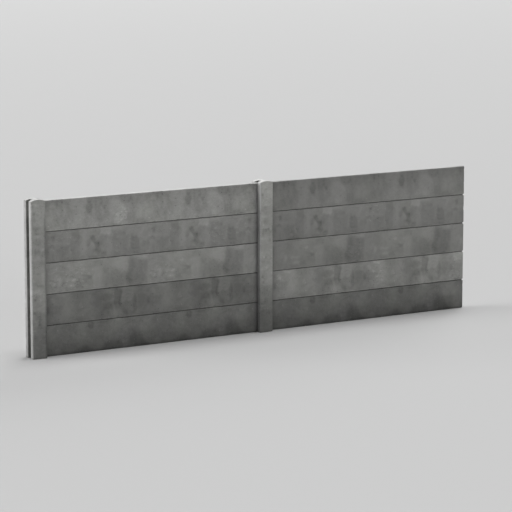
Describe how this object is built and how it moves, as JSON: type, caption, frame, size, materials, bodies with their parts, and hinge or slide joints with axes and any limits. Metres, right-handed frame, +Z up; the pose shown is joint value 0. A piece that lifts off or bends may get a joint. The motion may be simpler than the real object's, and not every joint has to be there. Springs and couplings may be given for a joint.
{
  "type": "precast concrete fence",
  "caption": "Straight run of precast concrete fence: slotted H-section posts with low arched heads carry courses of stacked plain boards, and the far bay ends bare.",
  "frame": {"origin": "centre of the middle post's foot, at ground level", "axes": "+X runs along the fence from the left post to the bare end, +Y from its front to its back, +Z up the posts"},
  "size_m": [5.025, 0.16, 1.52],
  "materials": {
    "post_concrete": "matte",
    "board_concrete": "matte"
  },
  "bodies": {
    "root": {"left_post": "post_concrete", "middle_post": "post_concrete", "left_bay_board_1": "board_concrete", "left_bay_board_2": "board_concrete", "left_bay_board_3": "board_concrete", "left_bay_board_4": "board_concrete", "left_bay_board_5": "board_concrete", "right_bay_board_1": "board_concrete", "right_bay_board_2": "board_concrete", "right_bay_board_3": "board_concrete", "right_bay_board_4": "board_concrete", "right_bay_board_5": "board_concrete"}
  },
  "joints": []
}
